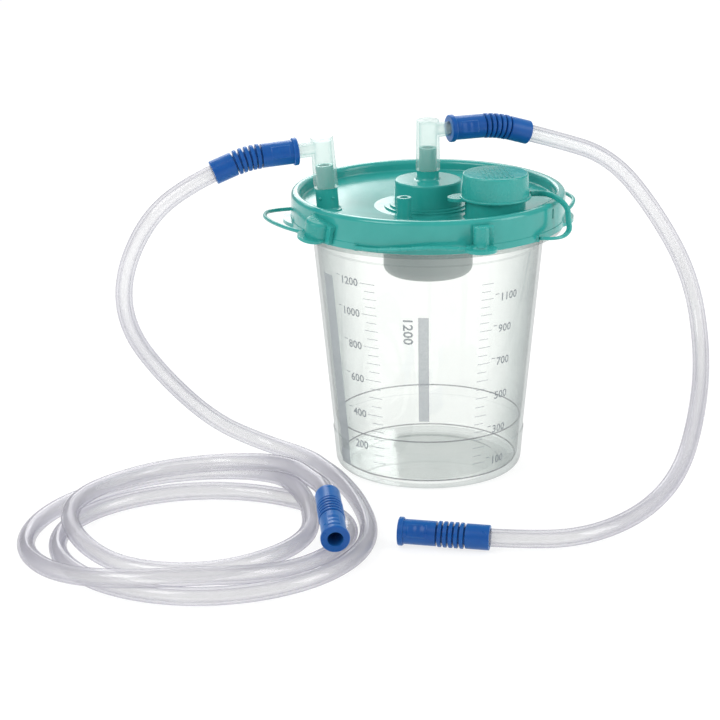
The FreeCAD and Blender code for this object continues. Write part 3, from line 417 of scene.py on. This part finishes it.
def make_strap():
    line = smooth_line("pour_strap", STRAP_ROUTE)
    outline = rounded_profile(STRAP_THICKNESS, STRAP_WIDTH, STRAP_CORNER)
    strap = tube_mesh("pour_strap_band", line, [outline], "strap_plastic")
    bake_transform(strap)
    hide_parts("pour_cap_strap")


make_strap()


# Printed scales on the jar

jar_surface = BVHTree.FromPolygons(
    [vertex.co for vertex in frame["nodes"]["canister"].data.vertices],
    [tuple(face.vertices) for face in frame["nodes"]["canister"].data.polygons])
INK_LIFT = 0.06 * MM
# The largest strips that a print is cut into, so that it follows the jar
STRIP_WIDTH = 2 * MM
STRIP_HEIGHT = 8 * MM
# Heights of the marks for each hundred, in millimetres
HEIGHTS = [14.0, 23.2, 32.6, 42.2, 52.8, 63.0, 73.0, 82.6, 92.2, 101.5, 110.5, 119.3]


def wrapped(turn, along, height):
    """The point on the jar's outside at this angle from the front, shifted along its surface."""
    outside = 0.1
    direction = Vector((math.sin(turn), -math.cos(turn), 0))
    hit, normal, _, _ = jar_surface.ray_cast(Vector((0, 0, height)) + direction * outside, -direction)
    radius = math.hypot(hit.x, hit.y)
    angle = turn + along / radius
    return Vector((math.sin(angle), -math.cos(angle), 0)) * (radius + INK_LIFT) + Vector((0, 0, height))


def ink_patch(vertices, faces, turn, left, right, low, high):
    """A printed bar, in strips narrow enough to follow the jar."""
    across = max(1, round((right - left) / STRIP_WIDTH))
    up = max(1, round((high - low) / STRIP_HEIGHT))
    base = len(vertices)
    for row in range(up + 1):
        for column in range(across + 1):
            along = left + (right - left) * column / across
            vertices.append(wrapped(turn, along, low + (high - low) * row / up))
    for row in range(up):
        for column in range(across):
            corner = base + row * (across + 1) + column
            faces.append((corner, corner + 1, corner + across + 2, corner + across + 1))


# How much a number's strokes are thickened, as a share of its size, and how much it is widened
NUMBER_BOLD = 0.02
NUMBER_STRETCH = 1.04


def number_mesh(text, size):
    """A number as a flat mesh: its vertices as (along, up) from its left foot, its faces and its width."""
    curve = bpy.data.curves.new("number", "FONT")
    curve.body = text
    curve.size = size
    curve.offset = NUMBER_BOLD * size
    curve.resolution_u = 2
    thing = bpy.data.objects.new("number", curve)
    bpy.context.scene.collection.objects.link(thing)
    mesh = bpy.data.meshes.new_from_object(thing.evaluated_get(bpy.context.evaluated_depsgraph_get()))
    flat = [(vertex.co.x * NUMBER_STRETCH, vertex.co.y) for vertex in mesh.vertices]
    faces = [tuple(face.vertices) for face in mesh.polygons]
    bpy.data.objects.remove(thing)
    bpy.data.meshes.remove(mesh)
    return flat, faces, max(along for along, _ in flat)


def print_on_jar(name, vertices, faces, material, smooth=False):
    """A piece that belongs to the jar and moves with it."""
    thing = add_mesh(name, vertices, faces, material, smooth)
    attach(thing, "canister")


LEFT_SCALE = math.radians(-32)
RIGHT_SCALE = math.radians(31)
NUMBER_SIZE = 6.3 * MM
TICK = 0.45 * MM
# How far a number's foot lies below its mark, as a share of its size
NUMBER_FOOT = 0.36
# The short dash by each number: its length, how far left of the number it starts, and its rise over the mark
DASH = 2.6 * MM
DASH_LEAD = 3.4 * MM
DASH_RISE = 1.8 * MM


def print_scale(name, turn, volumes, start, from_right, reaches):
    """One column: a number with a short dash for each volume, and ticks at every fifty.

    The reaches are the ends of the ticks in millimetres: at this column's numbers, at the other column's,
    and at the fifties between them.
    """
    vertices = []
    faces = []
    for volume in volumes:
        height = HEIGHTS[volume // 100 - 1] * MM
        flat, shapes, width = number_mesh(str(volume), NUMBER_SIZE)
        left = start - width if from_right else start
        base = len(vertices)
        low = height - NUMBER_FOOT * NUMBER_SIZE
        vertices += [wrapped(turn, left + along, low + up) for along, up in flat]
        faces += [tuple(base + index for index in shape) for shape in shapes]
        dash = left - DASH_LEAD
        foot = height + DASH_RISE
        ink_patch(vertices, faces, turn, dash, dash + DASH, foot, foot + TICK)
    print_on_jar(name, vertices, faces, "ink")
    vertices = []
    faces = []
    for index, height in enumerate(HEIGHTS):
        left, right = reaches[0] if (index % 2 == 1) == from_right else reaches[1]
        ink_patch(vertices, faces, turn, left * MM, right * MM, height * MM - TICK / 2, height * MM + TICK / 2)
    for below, above in zip(HEIGHTS, HEIGHTS[1:]):
        height = (below + above) / 2 * MM
        left, right = reaches[2]
        ink_patch(vertices, faces, turn, left * MM, right * MM, height - TICK / 2, height + TICK / 2)
    print_on_jar(name + "_ticks", vertices, faces, "pale_ink")


print_scale("left_scale", LEFT_SCALE, [1200, 1000, 800, 600, 400, 200], -5.8 * MM, True,
            [(-4.4, 5.2), (-3.0, 5.4), (-1.8, 4.8)])
print_scale("right_scale", RIGHT_SCALE, [1100, 900, 700, 500, 300, 100], 8.6 * MM, False,
            [(-3.7, 4.1), (-3.7, 3.6), (-3.7, 2.0)])


# Each bar's angle from the front in degrees, then its ends across and its ends upwards in millimetres
FRONT_BAR = (-2.4, -2.9, 2.9, 41.5, 102.5)
SIDE_STRIPE = (-61, -4.6, 5.2, 7.0, 119.0)
# The number of the jar's volume reads downwards beside the front bar
VOLUME_TURN = math.radians(-10)
VOLUME_SIZE = 7.6 * MM
VOLUME_SHIFT = 3.0 * MM
VOLUME_TOP = 102.3 * MM


def print_bars():
    """A pale bar up the front with the jar's volume beside it, and a broad pale stripe up the left side."""
    vertices = []
    faces = []
    for turn, left, right, low, high in (FRONT_BAR, SIDE_STRIPE):
        ink_patch(vertices, faces, math.radians(turn), left * MM, right * MM, low * MM, high * MM)
    print_on_jar("pale_bars", vertices, faces, "pale_ink")
    flat, shapes, _ = number_mesh("1200", VOLUME_SIZE)
    standing = [wrapped(VOLUME_TURN, up - VOLUME_SHIFT, VOLUME_TOP - along) for along, up in flat]
    print_on_jar("volume_number", standing, shapes, "ink")


print_bars()


# Painted shade lines where the jar's wall turns: dark rings at the ledge inside, and at the rounded edge of its
# floor

def make_line(name, radius, height, thick, count=160, around=8):
    """A fine ring just inside the wall: painted shade that stands in for the dark line where the wall bends the
    light.
    """
    vertices = []
    faces = []
    for index in range(count):
        turn = 2 * math.pi * index / count
        for step in range(around):
            lift = 2 * math.pi * step / around
            reach = radius + thick * math.cos(lift)
            vertices.append((reach * math.cos(turn), reach * math.sin(turn), height + thick * math.sin(lift)))
    for index in range(count):
        for step in range(around):
            a = index * around + step
            b = index * around + (step + 1) % around
            c = (index + 1) % count * around + (step + 1) % around
            d = (index + 1) % count * around + step
            faces.append((a, d, c, b))
    print_on_jar(name, vertices, faces, "bend_shade", smooth=True)


# Painted shade rings at the inner ledge and at the rounded edge of the floor
make_line("ledge_shade_line", 51.9 * MM, 28.3 * MM, 0.42 * MM)
make_line("floor_shade_line", 49.2 * MM, 4.8 * MM, 0.4 * MM)


# Grip panels: a low raised panel with three faint ribs on each connector's barrel

BARREL_RADIUS = 6.6 * MM
# Along the barrel, the panel's middle and half length in millimetres; round it, half its angle
PANEL_MIDDLE = 10.2
PANEL_HALF = 5.6
PANEL_TURN = math.radians(34)
# Heights over the barrel's skin in millimetres: the panel's foot, its border, its field and the ribs on that
PANEL_FOOT = -0.25
BORDER_RISE = 0.55
FIELD_DEPTH = 0.28
RIB_RISE = 0.18
# Shares of the panel's half width: where the field ends, and how wide each slope is
FIELD_EDGE = 0.72
SLOPE = 0.14
RIB_WAVES = 3.2


def panel_rise(along, across):
    """How far the panel stands out of the barrel, for along and across from -1 to 1."""
    edge = max(abs(along), abs(across))
    border = min(1.0, max(0.0, (1.0 - edge) / SLOPE))
    rib = 0.5 + 0.5 * math.cos(along * RIB_WAVES * math.pi)
    inside = min(1.0, max(0.0, (FIELD_EDGE - edge) / SLOPE))
    return (PANEL_FOOT + BORDER_RISE * border - inside * (FIELD_DEPTH - RIB_RISE * rib)) * MM


def make_panel(name, mouth, axis, facing):
    """A panel on the barrel that starts at mouth and runs along axis, on the side towards facing."""
    axis = Vector(axis).normalized()
    up = Vector(facing)
    up = (up - axis * up.dot(axis)).normalized()
    side = axis.cross(up)
    rows, columns = 40, 24
    vertices = []
    faces = []
    for row in range(rows + 1):
        along = 2 * row / rows - 1
        for column in range(columns + 1):
            across = 2 * column / columns - 1
            turn = across * PANEL_TURN
            radius = BARREL_RADIUS + panel_rise(along, across)
            vertices.append(Vector(mouth) * MM + axis * (PANEL_MIDDLE + PANEL_HALF * along) * MM
                            + (up * math.cos(turn) + side * math.sin(turn)) * radius)
    for row in range(rows):
        for column in range(columns):
            corner = row * (columns + 1) + column
            faces.append((corner, corner + columns + 1, corner + columns + 2, corner + 1))
    return add_mesh(name, vertices, faces, "connector_plastic")


# Each connector's mouth, the way from its mouth into its barrel, and the side its first panel faces
BARRELS = [
    ("patient_elbow_connector", "patient_elbow",
     (-71.2, -18.4, 185.0), (-0.968, -0.242, -0.073), (0, -1, 0.3)),
    ("vacuum_elbow_connector", "vacuum_elbow",
     (11.7, 4.5, 192.3), (0.934, 0.358, 0.0), (0.1, -1, 0.2)),
    ("patient_end_connector", "patient_elbow",
     (-47.3, -172.2, 17.9), (-5.6, 47.5, 6.2), (0, -0.3, 1)),
    ("vacuum_end_connector", "vacuum_elbow",
     (-15.6, -133.7, 7.7), (48.2, -7.7, -0.9), (0, -1, 0.5)),
]


def make_panels():
    for name, body, mouth, axis, facing in BARRELS:
        for index, side in enumerate((Vector(facing), -Vector(facing))):
            panel = make_panel("%s_grip_%d" % (name, index), mouth, axis, side)
            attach(panel, body)


make_panels()


# Floor, light and camera

FLOOR_SIZE = 12
FLOOR_GAP = 0.0004
# The floor as it is seen: its own glow, with a share of its lit surface that keeps the shadow
FLOOR_GLOW = 1.12
FLOOR_SHADE = 0.3
# The room's light on matt surfaces, and what the gloss reflects of it
ROOM_LIGHT = 0.68
GLOSS_LIGHT = 0.3


def make_floor():
    """A plain white sheet that keeps a faint shadow."""
    bpy.ops.mesh.primitive_plane_add(size=FLOOR_SIZE, location=(0, 0, -FLOOR_GAP))
    floor = bpy.context.object
    floor.name = "floor"
    m = Shader("floor white")
    seen = m.add("Emission", {"Color": (1, 1, 1, 1), "Strength": FLOOR_GLOW}).outputs["Emission"]
    lit = m.add("BsdfDiffuse", {"Color": (0.9, 0.9, 0.9, 1)}).outputs["BSDF"]
    mixed = m.add("MixShader", {0: FLOOR_SHADE, 1: seen, 2: lit}).outputs["Shader"]
    path = m.add("LightPath").outputs
    direct = m.add("Math", {0: path["Is Camera Ray"], 1: path["Is Transmission Ray"]}, operation="MAXIMUM")
    shown = m.add("Math", {0: direct.outputs["Value"], 1: path["Is Glossy Ray"]}, operation="MAXIMUM")
    floor.data.materials.append(m.close(m.add(
        "MixShader", {0: shown.outputs["Value"], 1: lit, 2: mixed}).outputs["Shader"]))


def make_world():
    """An even pale room, darker in the gloss, and white wherever the camera looks past the object."""
    world = bpy.data.worlds.new("studio")
    world.use_nodes = True
    bpy.context.scene.world = world
    tree = world.node_tree
    tree.nodes.clear()

    def glow(level):
        node = tree.nodes.new("ShaderNodeBackground")
        node.inputs["Color"].default_value = (1, 1, 1, 1)
        node.inputs["Strength"].default_value = level
        return node.outputs[0]

    def blend(factor, first, second):
        node = tree.nodes.new("ShaderNodeMixShader")
        for index, socket in enumerate((factor, first, second)):
            tree.links.new(socket, node.inputs[index])
        return node.outputs[0]

    path = tree.nodes.new("ShaderNodeLightPath").outputs
    lit = blend(path["Is Glossy Ray"], glow(ROOM_LIGHT), glow(GLOSS_LIGHT))
    seen = blend(path["Is Camera Ray"], lit, glow(1.0))
    end = tree.nodes.new("ShaderNodeOutputWorld")
    tree.links.new(blend(path["Is Transmission Ray"], seen, glow(1.0)), end.inputs[0])


def make_lamp(name, place, size, power, target=(0, -0.03, 0.1)):
    lamp = bpy.data.lights.new(name, "AREA")
    lamp.shape = "RECTANGLE"
    lamp.size, lamp.size_y = size
    lamp.energy = power
    thing = bpy.data.objects.new(name, lamp)
    bpy.context.scene.collection.objects.link(thing)
    thing.location = place
    thing.rotation_euler = (Vector(target) - Vector(place)).to_track_quat("-Z", "Y").to_euler()


# The photograph's camera: where it stands, how it is turned, and its field over 720 pixels
CAMERA_PLACE = Vector((0, -1.3818, 0.49035))
CAMERA_DOWN = 0.302
CAMERA_LEFT = 0.028
CAMERA_ROLL = -0.010
CAMERA_FOCAL_PIXELS = 2552.0
FRAME_PIXELS = 720


def make_camera():
    camera = bpy.data.cameras.new("camera")
    camera.sensor_width = 36.0
    camera.lens = CAMERA_FOCAL_PIXELS / FRAME_PIXELS * camera.sensor_width
    camera.clip_start = 0.05
    forward = Vector((-math.sin(CAMERA_LEFT) * math.cos(CAMERA_DOWN),
                      math.cos(CAMERA_LEFT) * math.cos(CAMERA_DOWN), -math.sin(CAMERA_DOWN)))
    level = Vector((math.cos(CAMERA_LEFT), math.sin(CAMERA_LEFT), 0))
    upright = level.cross(forward)
    right = level * math.cos(CAMERA_ROLL) + upright * math.sin(CAMERA_ROLL)
    up = upright * math.cos(CAMERA_ROLL) - level * math.sin(CAMERA_ROLL)
    thing = bpy.data.objects.new("camera", camera)
    bpy.context.scene.collection.objects.link(thing)
    turn = Matrix((right, up, -forward)).transposed().to_4x4()
    thing.matrix_world = Matrix.Translation(CAMERA_PLACE) @ turn
    bpy.context.scene.camera = thing


make_floor()
make_world()
make_lamp("key", (-0.75, -0.75, 1.05), (0.7, 0.7), 6.0)
make_lamp("right", (1.1, -0.35, 0.55), (0.5, 0.9), 4.0)
make_lamp("back", (-0.2, 0.9, 0.95), (1.2, 0.5), 5.0)
make_lamp("low back", (-0.27, 1.25, 0.62), (0.5, 0.42), 1.9, (0, 0, 0.15))
make_lamp("far wall", (0.1, 1.7, 0.7), (1.7, 0.8), 2.4, (0, 0, 0.15))
make_camera()
bpy.context.scene.view_settings.view_transform = "Standard"
